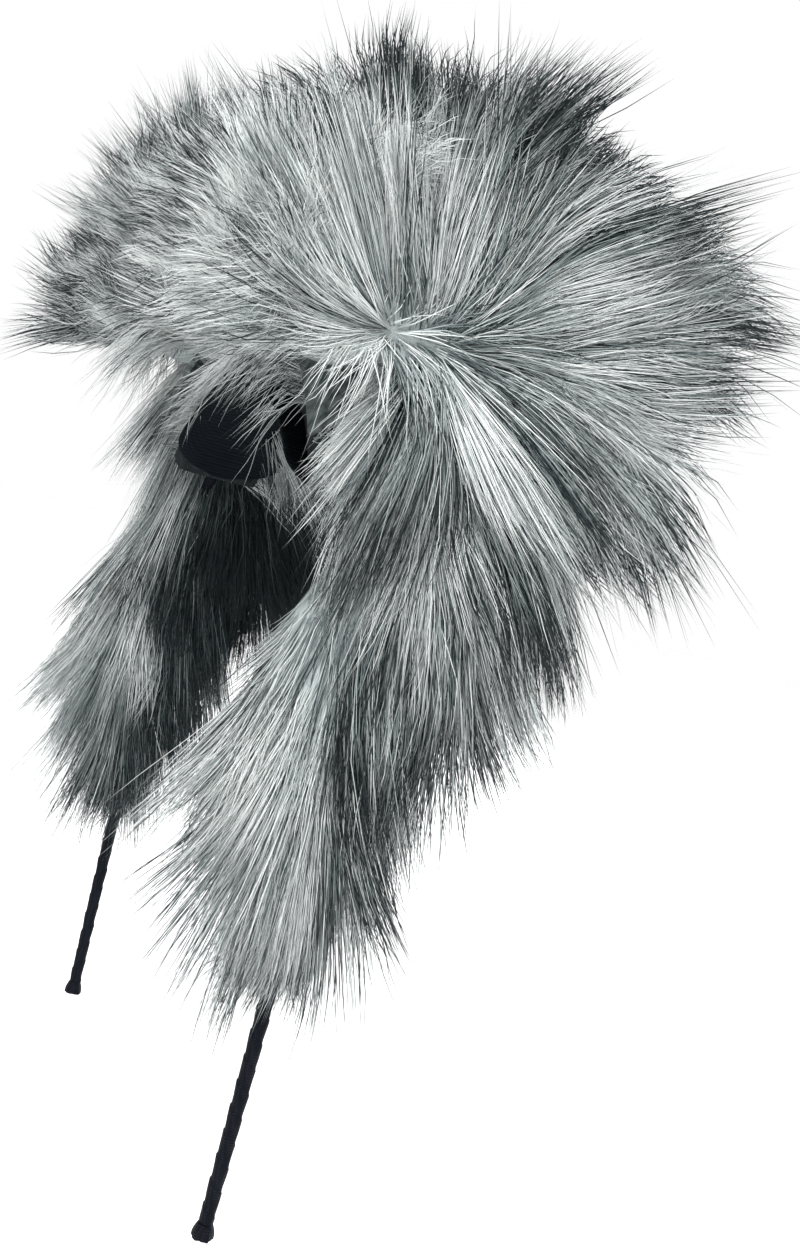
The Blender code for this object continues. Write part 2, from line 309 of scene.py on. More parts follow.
def band(distance):
    """Centre, outward normal and downward run of the band, for signed distances from its top."""
    distance = np.asarray(distance, float)
    side = np.where(distance < 0, -1.0, 1.0)
    angle = np.clip(np.abs(distance) / ARC_RADIUS, 0, pi / 2)
    drop = np.clip(np.abs(distance) - ARC_LENGTH, 0, None)
    turn = angle + np.arctan(2 * ARM_IN * drop / ARM_DROP**2)
    lean = ARM_IN * (drop / ARM_DROP) ** 2
    level = np.zeros_like(distance)
    x = side * (ARC_RADIUS * np.sin(angle) - lean)
    centre = np.stack([x, level, ARC_CENTRE_Z + ARC_RADIUS * np.cos(angle) - drop], -1)
    normal = np.stack([side * np.sin(turn), level, np.cos(turn)], -1)
    run = np.stack([side * np.cos(turn), level, -np.sin(turn)], -1)
    return centre, normal, run


def unit(vectors):
    return vectors / np.maximum(np.linalg.norm(vectors, axis=-1, keepdims=True), 1e-12)


def smooth_noise(points, size, seed):
    """A soft seeded field from 0 to 1, with lumps of about the given size."""
    rng = np.random.default_rng(seed)
    total = np.zeros(len(points))
    for _ in range(9):
        wave = rng.normal(size=3)
        wave *= rng.uniform(0.6, 1.5) / np.linalg.norm(wave)
        total += np.sin(points @ wave * pi / size + rng.uniform(0, 2 * pi))
    return np.clip(0.5 + total / 8.0, 0, 1)


def solid(name, vertices, faces, material):
    data = bpy.data.meshes.new(name)
    data.from_pydata([tuple(v) for v in vertices], [], faces)
    data.materials.append(material)
    data.shade_smooth()
    made = bpy.data.objects.new(name, data)
    bpy.context.scene.collection.objects.link(made)
    return made


def ring_faces(steps, count):
    """Faces of a closed body through rings of points, with a cap at each end."""
    faces = []
    for i in range(steps - 1):
        for j in range(count):
            k = (j + 1) % count
            faces.append((i * count + j, i * count + k, (i + 1) * count + k, (i + 1) * count + j))
    faces.append(tuple(range(count))[::-1])
    faces.append(tuple(range((steps - 1) * count, steps * count)))
    return faces


def tube_along(name, places, radius_of, count, material):
    """A closed tube round the band. radius_of gives each ring's radii from distances and turn angles."""
    turns = np.linspace(0, 2 * pi, count, endpoint=False)
    centre, normal, _ = band(places)
    radii = radius_of(places[:, None], turns[None, :])
    rings = centre[:, None] + radii[..., None] * normal[:, None] * np.sin(turns)[None, :, None]
    rings[..., 1] += radii * np.cos(turns)[None, :]
    made = solid(name, rings.reshape(-1, 3), ring_faces(len(places), count), material)
    fix_normals(made)
    return made


def fix_normals(item):
    mesh = bmesh.new()
    mesh.from_mesh(item.data)
    bmesh.ops.recalc_face_normals(mesh, faces=mesh.faces)
    mesh.to_mesh(item.data)
    mesh.free()


# ---------------------------------------------------------------- fur


def strand_lines(roots, aims, bends, lengths):
    """Points along each strand: (strand, ring, xyz)."""
    t = RING_AT[None, :, None]
    return roots[:, None] + lengths[:, None, None] * (t * aims[:, None] + t**2 * bends[:, None])


def gather(lines, rng, size, pull):
    """Draws every strand towards the one that leads its tuft, most at the tips, and numbers its tuft."""
    leaders = rng.choice(len(lines), max(1, len(lines) // size), replace=False)
    tree = KDTree(len(leaders))
    for place, leader in enumerate(leaders):
        tree.insert(lines[leader, 1], place)
    tree.balance()
    tuft = np.array([tree.find(start)[1] for start in lines[:, 1]])
    lead = lines[leaders[tuft]]
    apart = lines[:, :1] - lead[:, :1]
    strength = pull * rng.uniform(0.35, 1.0, len(lines))[:, None, None] * RING_AT[None, :, None] ** 1.4
    return lines + strength * (lead + 0.3 * apart - lines), tuft


def keep_inside(lines):
    """Shortens the strands that would reach outside the space that the coat may fill."""
    low = np.array([cad_box[0][axis] for axis in range(3)]) - MARGIN
    high = np.array([cad_box[1][axis] for axis in range(3)]) + MARGIN
    root, tip = lines[:, 0], lines[:, -1]
    run = np.where(np.abs(tip - root) < 1e-6, 1e-6, tip - root)
    room = np.where(run > 0, (high - root) / run, (low - root) / run).min(axis=1)
    return lines[:, :1] + (lines - lines[:, :1]) * np.clip(room, 0.2, 1)[:, None, None]


def strand_points(lines, radii, taper):
    """Each strand's points: its rings from the root up, then its tip."""
    runs = unit(np.gradient(lines, axis=1))
    guide = unit(np.cross(runs[:, 0], np.roll(runs[:, 0], 1, axis=-1) + 0.13))
    one = unit(np.cross(runs, guide[:, None]))
    two = np.cross(runs, one)
    size = radii[:, None] * (1 - taper[:, None] * RING_AT[None, :RINGS])
    turns = np.arange(SIDES_A_STRAND) * 2 * pi / SIDES_A_STRAND
    around = (
        np.cos(turns)[None, None, :, None] * one[:, :RINGS, None]
        + np.sin(turns)[None, None, :, None] * two[:, :RINGS, None]
    )
    rings = lines[:, :RINGS, None] + size[..., None, None] * around
    return np.concatenate([rings.reshape(len(lines), -1, 3), lines[:, -1:]], axis=1)


def strand_faces():
    """One strand's corners, face after face, and the corner that each face starts at."""
    sides = SIDES_A_STRAND
    quads, tips = [], []
    for ring in range(RINGS - 1):
        for j in range(sides):
            k = (j + 1) % sides
            here, above = sides * ring, sides * ring + sides
            quads.append((here + j, here + k, above + k, above + j))
    last = sides * (RINGS - 1)
    for j in range(sides):
        tips.append((last + j, last + (j + 1) % sides, last + sides))
    tips.append((2, 1, 0))
    quads, tips = np.array(quads), np.array(tips)
    corners = np.concatenate([quads.ravel(), tips.ravel()])
    starts = np.concatenate([np.arange(len(quads)) * 4, len(quads) * 4 + np.arange(len(tips)) * 3])
    return corners, starts


def strand_mesh(name, lines, radii, taper, columns, material):
    """One mesh of tapered tubes. Each strand's chart is one column, from its root to its tip."""
    count = len(lines)
    vertices = strand_points(lines, radii, taper)
    per_strand = vertices.shape[1]
    corners, starts = strand_faces()
    strands = np.arange(count)[:, None]
    loops = (corners[None] + strands * per_strand).ravel()
    loop_starts = (starts[None] + strands * len(corners)).ravel()
    heights = np.append(np.repeat(RING_AT[:RINGS], SIDES_A_STRAND), 1.0)
    chart = np.empty((count, len(corners), 2), np.float32)
    chart[..., 0] = columns[:, None]
    chart[..., 1] = 0.01 + 0.98 * heights[corners][None]
    data = bpy.data.meshes.new(name)
    data.vertices.add(count * per_strand)
    data.vertices.foreach_set("co", vertices.astype(np.float32).ravel())
    data.loops.add(len(loops))
    data.loops.foreach_set("vertex_index", loops.astype(np.int32))
    data.polygons.add(len(loop_starts))
    data.polygons.foreach_set("loop_start", loop_starts.astype(np.int32))
    data.update(calc_edges=True)
    data.shade_smooth()
    data.uv_layers.new(name=UV_NAME)
    data.uv_layers[UV_NAME].data.foreach_set("uv", chart.ravel())
    data.materials.append(material)
    made = bpy.data.objects.new(name, data)
    bpy.context.scene.collection.objects.link(made)
    return made


def coat(name, rng, lines, darkness, paleness, material, radius=STRAND_RADIUS):
    """Turns strand lines into fur pieces: soft pale underfur, and thin dark-tipped guard hairs among it."""
    count = len(lines)
    lines, large = gather(lines, rng, 170, 0.25)
    lines, small = gather(lines, rng, 20, 0.5)
    tuft_tone = 0.17 * rng.normal(size=count)[large] + 0.20 * rng.normal(size=count)[small]
    tuft_reach = (1 + 0.07 * rng.normal(size=count)[large]) * (1 + 0.07 * rng.normal(size=count)[small])
    guard = rng.random(count) < np.clip(0.12 + 0.6 * (darkness + tuft_tone), 0.05, 0.85)
    reach = np.where(guard, rng.uniform(0.90, 1.05, count), rng.uniform(0.55, 0.93, count)) * tuft_reach
    lines = lines[:, :1] + (lines - lines[:, :1]) * reach[:, None, None]
    wave_to = rng.normal(size=(count, 3))[small] * 0.8 * MM
    wave = np.sin(RING_AT[None] * 4.5 + rng.uniform(0, 6, count)[large][:, None]) * RING_AT[None]
    lean = rng.normal(size=(count, 1, 3)) * 0.75 * MM * RING_AT[None, :, None]
    frizz = rng.normal(size=(count, len(RING_AT), 3)) * 0.15 * MM * RING_AT[None, :, None]
    lines = keep_inside(lines + wave[..., None] * wave_to[:, None] + lean + frizz)
    wish = darkness + tuft_tone + rng.normal(0, 0.22, count)
    start = np.where(guard, np.digitize(-wish, [-0.74, -0.26]), NEVER_DARK)  # 0 is dark from near its root
    tone = paleness - 0.5 * tuft_tone + rng.normal(0, 0.20, count) - 0.5 * np.clip(darkness - 0.35, 0, 1)
    shade = np.clip((tone * SHADES).astype(int), 0, SHADES - 1)
    columns = (shade * DARK_STARTS + start + 0.5) / (SHADES * DARK_STARTS)
    radii = radius * np.where(guard, rng.uniform(0.7, 1.1, count), rng.uniform(0.75, 1.0, count))
    taper = np.where(guard, 0.35, 0.75)
    pieces = []
    for part, first in enumerate(range(0, count, STRANDS_A_PIECE)):
        chosen = slice(first, first + STRANDS_A_PIECE)
        shape = lines[chosen], radii[chosen], taper[chosen]
        pieces.append(strand_mesh(f"{name}_{part + 1}", *shape, columns[chosen], material))
    return pieces


def spots(points, places):
    """Sum of soft round spots, each given as (x, y, z, radius, strength) in millimetres."""
    total = np.zeros(len(points))
    for x, y, z, size, strength in places:
        apart = np.linalg.norm(points - np.array([x, y, z]) * MM, axis=1)
        total += strength * np.exp(-((apart / (size * MM)) ** 2))
    return total


def shared_bend(points, size, amount, seed):
    """A bend that neighbours share, so that whole tufts curve and cross each other."""
    return amount * np.stack([smooth_noise(points, size, seed + axis) - 0.5 for axis in range(3)], -1)


def read(table, at):
    """Reads a table of (place, value) pairs at the given places."""
    places, values = zip(*table)
    return np.interp(at, places, values)


# The ears' and arms' fur flows away from a whorl at each ear's outer root. In millimetres, on the left
WHORL = (50, -4, 9.5)
# Painted shade: nearer the middle than INSIDE_X, the arms' ground is painted dark.
INSIDE_X = 53 * MM  # nearer the middle than this, the arms' ground is dark

# The outlines of the ears and arms below hold lengths in millimetres. They started from points on the
# photograph, which a scratch script turned into millimetres through this scene's camera. They were typed in,
# and then changed several times to bring the two silhouettes closer.

# ---- ears: how far the tips reach from the whorl, against the angle up from straight back, in degrees

EAR_REACH = {
    "left": (
        (-75, 7), (-62, 29), (-50, 38), (-36, 48), (-25, 55), (-8, 58.5), (8, 63), (20, 68), (30, 67),
        (44, 57.5), (64, 49), (84, 47.5), (97, 45.5), (113, 43), (126, 41), (145, 39), (160, 37), (180, 33),
        (190, 29), (197, 24), (205, 15), (220, 7),
    ),
    "right": (
        (-75, 7), (-62, 29), (-50, 38), (-36, 48), (-25, 56), (-8, 61), (8, 65), (20, 69), (30, 68), (44, 61),
        (68, 57), (85, 55.5), (94, 54), (104, 51), (116, 47.5), (126, 43), (138, 36), (151, 31), (165, 31),
        (181, 31.5), (192, 27), (200, 14), (215, 7),
    ),
}
EAR_SEAM_ANGLE = 107  # the plush front begins here
EAR_HALF = 22.5  # half the padded ear's thickness at the whorl, in millimetres
EAR_BULGE = 2.4  # the power in the curve of its section: more is fuller
GROUND_SHARE = 0.70  # the padded ear goes this far out along the fur's reach
FULL_REACH = 68  # where the fur reaches this far, no strand is left out
PARTING = 7  # the whorl is a short parting, this long towards the front


def ear_ground(name, angle, share, layer):
    """A point on the ear's matted ground: share 0 is at the whorl and 1 at the ear's edge.

    layer runs from -1 on the ear's inner side, through 0 at its edge, to 1 on its outer side.
    """
    reach = read(EAR_REACH[name], angle) * GROUND_SHARE * share
    start = WHORL[1] - PARTING * np.clip((angle - 50) / 70, 0, 1)
    y = start + reach * np.cos(np.radians(angle))
    z = WHORL[2] + reach * np.sin(np.radians(angle))
    middle = 44.5 + 0.19 * np.clip(z - 11, 0, None) + 0.15 * np.clip(11 - z, 0, None)
    return np.stack([SIDES[name] * (middle + layer * EAR_HALF), y, z], -1) * MM


def layer_at(share):
    """The layer that the ear's surface is in, at a share of its reach."""
    return np.sqrt(np.clip(1 - share**EAR_BULGE, 0, 1))


def ear_lines(name, rng, count, first_angle, last_angle):
    """Layered fur: strands start all over the padded ear and lie along it, away from the whorl."""
    angles = rng.uniform(first_angle, last_angle, count * 3)
    kept = rng.random(count * 3) < (read(EAR_REACH[name], angles) / FULL_REACH) ** 1.6
    angles = angles[kept][:count]
    count = len(angles)
    layer = rng.uniform(-1, 1, count)
    edge_share = (1 - layer**2) ** (1 / EAR_BULGE)
    on_side = rng.random(count) < 0.62
    share = np.where(on_side, np.sqrt(rng.random(count)) * 0.98, edge_share)
    layer = np.where(on_side, np.where(rng.random(count) < 0.56, 1.0, -1.0) * layer_at(share), layer)
    roots = ear_ground(name, angles, share, layer)
    swirl = (46 + 60 * (1 - share) ** 3) * (smooth_noise(roots, 13 * MM, 71) - 0.5)
    swirl += 44 * (smooth_noise(roots, 5.5 * MM, 72) - 0.5) + rng.normal(0, 5, count)
    swirl *= 1 - 0.7 * np.exp(-(((angles - EAR_SEAM_ANGLE) / 9) ** 2))
    flow = np.radians(angles + swirl)
    lift = 0.44 * (1 - share) * np.sign(layer) + (0.30 * layer - 0.25 * np.sign(layer) * share**3) * share
    sideways = SIDES[name] * lift + rng.normal(0, 0.08, count)
    aims = unit(np.stack([sideways, np.cos(flow), np.sin(flow)], -1))
    reach = read(EAR_REACH[name], angles)
    room = reach * (1 - GROUND_SHARE * share)
    lengths = np.minimum(rng.uniform(24, 31, count), room * rng.uniform(0.86, 1.04, count)) * MM
    bends = shared_bend(roots, 7 * MM, 0.8, 81)
    bends[:, 2] -= 0.10 + 0.14 * np.clip(np.cos(np.radians(angles)), 0, 1)
    return strand_lines(roots, aims, bends, lengths), angles, share


def whorl_lines(name, rng, count):
    """Short tufts that rise from the parting and fall over it."""
    angles = rng.uniform(-75, 285, count)
    share = rng.uniform(0, 0.16, count)
    roots = ear_ground(name, angles, share, np.ones(count) * 0.97)
    roots[:, 1] -= rng.uniform(-1, PARTING + 2, count) * MM
    fall = 2.2 * (smooth_noise(roots, 7 * MM, 91) - 0.5) + np.radians(angles)
    flat = np.stack([np.zeros(count), np.cos(fall), np.sin(fall)], -1)
    up = np.array([SIDES[name], 0, 0])
    aims = unit(0.5 * up + 0.8 * flat + rng.normal(0, 0.06, (count, 3)))
    bends = 0.5 * flat - 0.45 * up + rng.normal(0, 0.08, (count, 3))
    return strand_lines(roots, aims, bends, rng.uniform(9, 19, count) * MM), angles, share


# Patches of the coat: a strength above zero is dark, one below is pale
EAR_PATCHES = {
    "left": (
        (50, 50, 34, 9, 0.2),
        (64, 15, 5, 6, 0.35),
        (54, 6, 46, 14, 0.25),
        (54, 26, 42, 10, 0.2),
        (66, 12, 22, 12, -0.25),
        (62, 34, 6, 9, -0.2),
    ),
    "right": ((-54, -36, 40, 14, 0.25), (-54, -42, 14, 12, 0.25)),
}


def add_ear_fur(name, material):
    for number, part in enumerate(("ear_back_fur", "ear_front_plush")):
        plush = number == 1
        rng = np.random.default_rng((31 if name == "left" else 33) + number)
        first, last = (EAR_SEAM_ANGLE + 1, 224) if plush else (-66, EAR_SEAM_ANGLE)
        asked = PLUSH_STRANDS if plush else BACK_STRANDS
        lines, angles, share = ear_lines(name, rng, asked, first, last)
        if not plush:
            tufts = whorl_lines(name, rng, WHORL_STRANDS)
            lines, angles, share = (np.concatenate(both) for both in zip((lines, angles, share), tufts))
        lumps = smooth_noise(lines[:, 3], 11 * MM, 41) - 0.5
        fine = smooth_noise(lines[:, 0], 2.6 * MM, 44) - 0.5
        if plush:
            darkness = -0.02 + 0.25 * lumps + 0.25 * fine + 0.30 * share**3
            paleness = 0.80 - 0.3 * lumps - 0.25 * fine
        else:
            rim = np.exp(-(((angles - EAR_SEAM_ANGLE) / 6) ** 2))
            darkness = 0.14 + 0.50 * share**2 + 0.25 * lumps + 0.75 * fine + 0.22 * rim
            paleness = 0.72 - 0.2 * lumps - 0.45 * fine - 0.12 * share - 0.10 * rim
        darkness += spots(lines[:, 2], EAR_PATCHES[name])
        for piece in coat(f"{name}_{part}_strands", rng, lines, darkness, paleness, material):
            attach(piece, f"{name}_ear")
            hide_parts(f"{name}_{part}")


# ---- arms: the sleeve's matted ground, against the height in millimetres, for the left side

ARM_MIDDLE_X = ((-84, 57.3), (-50, 58.5), (-27, 57.5), (-10, 57.5), (8, 58))
ARM_HALF_X = ((-84, 3.2), (-70, 6), (-50, 9), (-27, 9.5), (-10, 9), (4, 8.5), (8, 7))
ARM_FRONT_Y = (
    (-84, -2.6), (-70, -5.5), (-60, -9.5), (-47, -12), (-34, -10.5), (-21, -5), (-10, -3.8), (9, -6),
)
ARM_BACK_Y = ((-84, 3.2), (-67, 3), (-52, 5.5), (-41, 9), (-30, 14.5), (-19, 20), (-5, 18), (9, 4))
ARM_TOP = 9
ARM_BOTTOM = -84
FUR_BOTTOM = -95.5
SHOULDER_FUR_BOTTOM = -36  # strands that start above this bend at the shoulder


def arm_ground(side, z, turn):
    """A point of the flattened sleeve at height z, in millimetres. turn 0 faces outwards, and pi / 2 back."""
    front, back = read(ARM_FRONT_Y, z), read(ARM_BACK_Y, z)
    round_x = np.sign(np.cos(turn)) * np.abs(np.cos(turn)) ** 0.8
    round_y = np.sign(np.sin(turn)) * np.abs(np.sin(turn)) ** 0.8
    x = read(ARM_MIDDLE_X, z) + read(ARM_HALF_X, z) * round_x
    y = (front + back) / 2 + (back - front) / 2 * round_y
    return np.stack([side * x, y, z], -1) * MM


def arm_lines(side, rng, count):
    """Layered fur that flows from the whorl, then hangs down the arm with a small splay."""
    height = rng.uniform(ARM_BOTTOM, ARM_TOP, count * 2)
    wide = read(ARM_BACK_Y, height) - read(ARM_FRONT_Y, height)
    crowded = 0.25 + 0.6 * wide / 34 + 0.4 * (height > -8)
    height = height[rng.random(count * 2) < crowded][:count]
    count = len(height)
    turn = rng.uniform(0, 2 * pi, count)
    roots = arm_ground(side, height, turn)
    away = roots / MM - np.array(WHORL) * (side, 1, 1)
    radial = np.arctan2(away[:, 1], -away[:, 2])
    far = np.clip((np.hypot(away[:, 1], away[:, 2]) - 14) / 38, 0, 1)
    fanned = np.clip(radial, -0.25, 2) * (1 - 0.58 * far)
    forwards = (0.08 + 0.22 * far) * np.clip(-np.sin(turn), -0.2, 1)
    splay = fanned - forwards
    splay *= np.clip((height - FUR_BOTTOM - 8) / 40, 0.05, 1)
    splay += 0.36 * (smooth_noise(roots, 15 * MM, 52) - 0.5) + 0.42 * (smooth_noise(roots, 6 * MM, 53) - 0.5)
    splay += rng.normal(0, 0.07, count)
    lift = 0.10 + 0.16 * np.clip((height + 20) / 30, 0, 1)
    outwards = lift * np.cos(turn) + 0.10 * np.clip((height + 50) / 40, 0, 1)
    sideways = side * outwards + rng.normal(0, 0.04, count)
    aims = unit(np.stack([sideways, np.sin(splay), -np.cos(splay)], -1))
    lengths = np.clip(height - FUR_BOTTOM, 13, 34) * rng.uniform(0.78, 1.04, count) * MM
    bends = shared_bend(roots, 9 * MM, 0.5, 51)
    bends[:, 2] -= 0.06
    return strand_lines(roots, aims, bends, lengths), height, turn


# Dark and pale patches of the arms' coat, as (x, y, z, radius, strength) in millimetres. On the right arm the
# strong dark ones near the head, at x -46 to -50, are painted shade on the arm's inner side.
ARM_PATCHES = {
    "left": (
        (66, 13, -26, 10, 0.6),
        (66, 13, -41, 9, 0.75),
        (66, 6, -66, 9, 0.85),
        (60, 33, -27, 7, 0.6),
        (67, -3, -42, 5, 0.45),
        (66, -6, -26, 12, -0.25),
        (66, -11, -64, 10, -0.35),
    ),
    "right": (
        (-46, 16, -22, 14, 1.0),
        (-50, 12, -8, 12, 0.9),
        (-50, 14, -44, 12, 0.8),
        (-52, -2, -34, 8, 0.2),
        (-56, -4, -74, 8, 0.2),
        (-60, -15, -62, 11, -0.4),
        (-62, -12, -20, 12, -0.4),
        (-70, 0, -40, 12, 0.1),
    ),
}


def add_arm_fur(name, side, material):
    rng = np.random.default_rng(11 if side > 0 else 12)
    lines, height, turn = arm_lines(side, rng, ARM_STRANDS)
    middle = lines[:, 2]
    # Painted shade on the inner side, facing the head: its strands are darker there, and more of them are
    # dark-tipped.
    inside = np.clip(-np.cos(turn) + 0.15, 0, 1) ** 0.6 * np.clip((6 - height) / 14, 0, 1)
    lumps = smooth_noise(middle, 12 * MM, 5) - 0.5
    fine = smooth_noise(lines[:, 0], 2.6 * MM, 6) - 0.5
    patches = spots(middle, ARM_PATCHES[name])
    painted_inner_shade = inside * np.clip(0.42 + 0.9 * patches, 0, 1)
    darkness = 0.14 + patches + 0.35 * lumps + 0.3 * fine + 0.5 * painted_inner_shade
    paleness = 0.72 - 0.2 * lumps - 0.3 * fine - 0.8 * painted_inner_shade
    high = height > SHOULDER_FUR_BOTTOM
    for piece in coat(f"{name}_shoulder_fur", rng, lines[high], darkness[high], paleness[high], material):
        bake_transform(piece)
        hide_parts(f"{name}_arm_fur_sleeve")
    low = ~high
    for piece in coat(f"{name}_arm_fur", rng, lines[low], darkness[low], paleness[low], material):
        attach(piece, f"{name}_arm")
        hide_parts(f"{name}_arm_fur_sleeve")


def add_crown_fur(material):
    """Shorter fur over the top of the band, between and around the ears."""
    rng = np.random.default_rng(21)
    count = CROWN_STRANDS
    reach = CROWN_FUR_REACH
    distance = rng.uniform(-reach, reach, count)
    turn = rng.uniform(-0.66, 1, count) * radians(100)
    centre, normal, run = band(distance)
    sideways = np.stack([np.zeros(count), np.sin(turn), np.zeros(count)], -1)
    outward = np.cos(turn)[:, None] * normal + sideways
    roots = centre + outward * 6 * MM
    across = np.sin(turn + 0.8 * (smooth_noise(roots, 9 * MM, 62) - 0.5))[:, None] * [0, 1, 0]
    along = rng.uniform(0.1, 0.6, count)[:, None] * run
    aims = unit(0.6 * outward + 0.8 * across + along + rng.normal(0, 0.16, (count, 3)))
    near_end = np.clip(np.abs(distance) / reach * 3 - 2, 0, 1) * np.clip(-np.sin(turn) + 0.3, 0, 1)
    front = np.clip(-np.sin(turn), 0, 1)
    lengths = rng.uniform(13, 21, count) * (1 - 0.5 * near_end) * (1 - 0.4 * front) * MM
    bends = shared_bend(roots, 8 * MM, 0.5, 61)
    bends[:, 2] -= 0.2
    lines = strand_lines(roots, aims, bends, lengths)
    lumps = smooth_noise(lines[:, 2], 12 * MM, 8) - 0.5
    for piece in coat("crown_fur", rng, lines, 0.16 + 0.5 * lumps, 0.72 - 0.3 * lumps, material):
        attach(piece, "crown")
        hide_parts("crown_fur_sleeve")


def add_fringe(material):
    """Single pale hairs that hang from the crown's front edge over the dark opening."""
    rng = np.random.default_rng(22)
    count = FRINGE_STRANDS
    distance = rng.uniform(-1, 1, count) * ARC_RADIUS * FRINGE_ANGLE
    centre, normal, run = band(distance)
    roots = centre + normal * 2 * MM + rng.uniform(8, 11, (count, 1)) * MM * np.array([0, -1, 0])
    aims = unit(-0.9 * normal + [0, -0.9, 0] + 0.3 * run + rng.normal(0, 0.3, (count, 3)))
    bends = rng.normal(0, 0.3, (count, 3)) + [0, 0, -0.3]
    lines = strand_lines(roots, aims, bends, rng.uniform(8, 17, count) * MM)
    darkness, paleness = np.full(count, 0.1), np.full(count, 0.8)
    for piece in coat("crown_fringe", rng, lines, darkness, paleness, material, FRINGE_RADIUS):
        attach(piece, "crown")
        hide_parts("crown_fur_sleeve")


# ---------------------------------------------------------------- ground under the fur


def closed_rings(name, rings, charts, material):
    """A closed body through rings of points, with a map that runs along the nap."""
    steps, count = rings.shape[:2]
    made = solid(name, rings.reshape(-1, 3), ring_faces(steps, count), material)
    flat = charts.reshape(-1, 2)
    made.data.uv_layers.new(name=NAP)
    corner_of = np.empty(len(made.data.loops), np.int32)
    made.data.loops.foreach_get("vertex_index", corner_of)
    made.data.uv_layers[NAP].data.foreach_set("uv", flat[corner_of].astype(np.float32).ravel())
    fix_normals(made)
    return made


def add_crown_pelt(ground):
    """The crown sleeve's ground, flat underneath where the lining lies."""

    def crown_radius(distance, turn):
        floor = 3.8 * MM / np.clip(-np.sin(turn), 0.05, 1)
        lumps = 0.5 * MM * np.sin(distance / (4 * MM)) * np.cos(3 * turn)
        round_part = 9 * MM + lumps
        return np.where(np.sin(turn) < 0, np.minimum(round_part, floor), round_part)

    places = np.linspace(-CROWN_PELT_REACH, CROWN_PELT_REACH, 61)
    pelt = tube_along("crown_pelt", places, crown_radius, 32, ground)
    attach(pelt, "crown")
    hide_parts("crown_fur_sleeve")


def add_arm_pelt(name, side, ground):
    """The sleeve's ground, in a part that bends at the shoulder and a part that rides on the arm."""
    turns = np.linspace(0, 2 * pi, 40, endpoint=False)
    for part, top, bottom in (("shoulder_pelt", ARM_TOP, -44), ("arm_pelt", -43, ARM_BOTTOM)):
        heights = np.linspace(top, bottom, 33)
        rings = np.stack([arm_ground(side, np.full(len(turns), z), turns) for z in heights])
        lumps = 1 + 0.03 * np.sin(rings[..., 2:] / (3 * MM) + 3 * turns[None, :, None])
        middle = rings.mean(axis=1, keepdims=True)
        rings = middle + (rings - middle) * lumps
        charts = np.stack(np.broadcast_arrays(turns[None] * 2, heights[:, None] * 0.08), -1)
        pelt = closed_rings(f"{name}_{part}", rings, charts, ground)
        if part == "shoulder_pelt":
            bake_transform(pelt)
        else:
            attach(pelt, f"{name}_arm")
        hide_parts(f"{name}_arm_fur_sleeve")


def add_ear_core(name, ground):
    """The padded ear under its fur: a crowned closed form, thin at its edge."""
    count = 72
    angles = np.linspace(-75, 285, count, endpoint=False)
    shares = np.sin(np.linspace(0.03, 1, 14) * pi / 2)
    low_back = np.clip((-angles - 33) / 25, 0, 1)
    tip_room = 1 - 0.42 * low_back  # smaller there, to meet the lining less when the ear tips back
    rings, charts = [], []
    for face, order in ((1, shares), (-1, shares[::-1][1:])):
        for share in order:
            lump = 1 + 0.02 * np.sin(np.radians(angles) * 9 + 7 * share)
            wavy = share * lump if share < 0.9 else np.full(count, share)
            rings.append(ear_ground(name, angles, wavy * tip_room, face * layer_at(wavy)))
            charts.append(np.stack([np.radians(angles) * 3, np.full(count, share * 0.8)], -1))
    core = closed_rings(f"{name}_ear_core", np.stack(rings), np.stack(charts), ground)
    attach(core, f"{name}_ear")
    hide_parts(f"{name}_ear_back_fur", f"{name}_ear_front_plush")


# ---------------------------------------------------------------- band


def add_band(ribbon):
    """The ribbon's overlapping turns on both arms, and its flared ends."""
    pitch = 4.2 * MM
    for name, side in SIDES.items():

        def wound(distance, turn):
            lap = (np.abs(distance) / pitch + turn / (2 * pi)) % 1
            edge = 0.16 * MM * np.clip(1 - lap / 0.8, 0, 1)
            return 1.16 * MM + edge + 0.03 * MM * np.sin(turn * 3 + distance / MM)

        places = side * np.linspace(SHOULDER + 0.3 * MM, BAND_END, 430)
        wrap = tube_along(f"{name}_ribbon_wrap", places, wound, 20, ribbon)
        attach(wrap, f"{name}_arm")
        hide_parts(f"{name}_band_ribbon")

        def flared(distance, turn):
            share = np.clip((np.abs(distance) - BAND_END) / (2.5 * MM), 0, 1)
            ragged = 0.16 * MM * share * np.sin(5 * turn + 1) + 0.1 * MM * share * np.sin(11 * turn)
            return 1.25 * MM + 0.5 * MM * np.sin(share * pi * 0.62) + ragged

        places = side * np.linspace(BAND_END + 0.05 * MM, BAND_END + 2.6 * MM, 14)
        knob = tube_along(f"{name}_tip_knob", places, flared, 40, ribbon)
        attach(knob, f"{name}_arm")
        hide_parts(f"{name}_tip_cap")


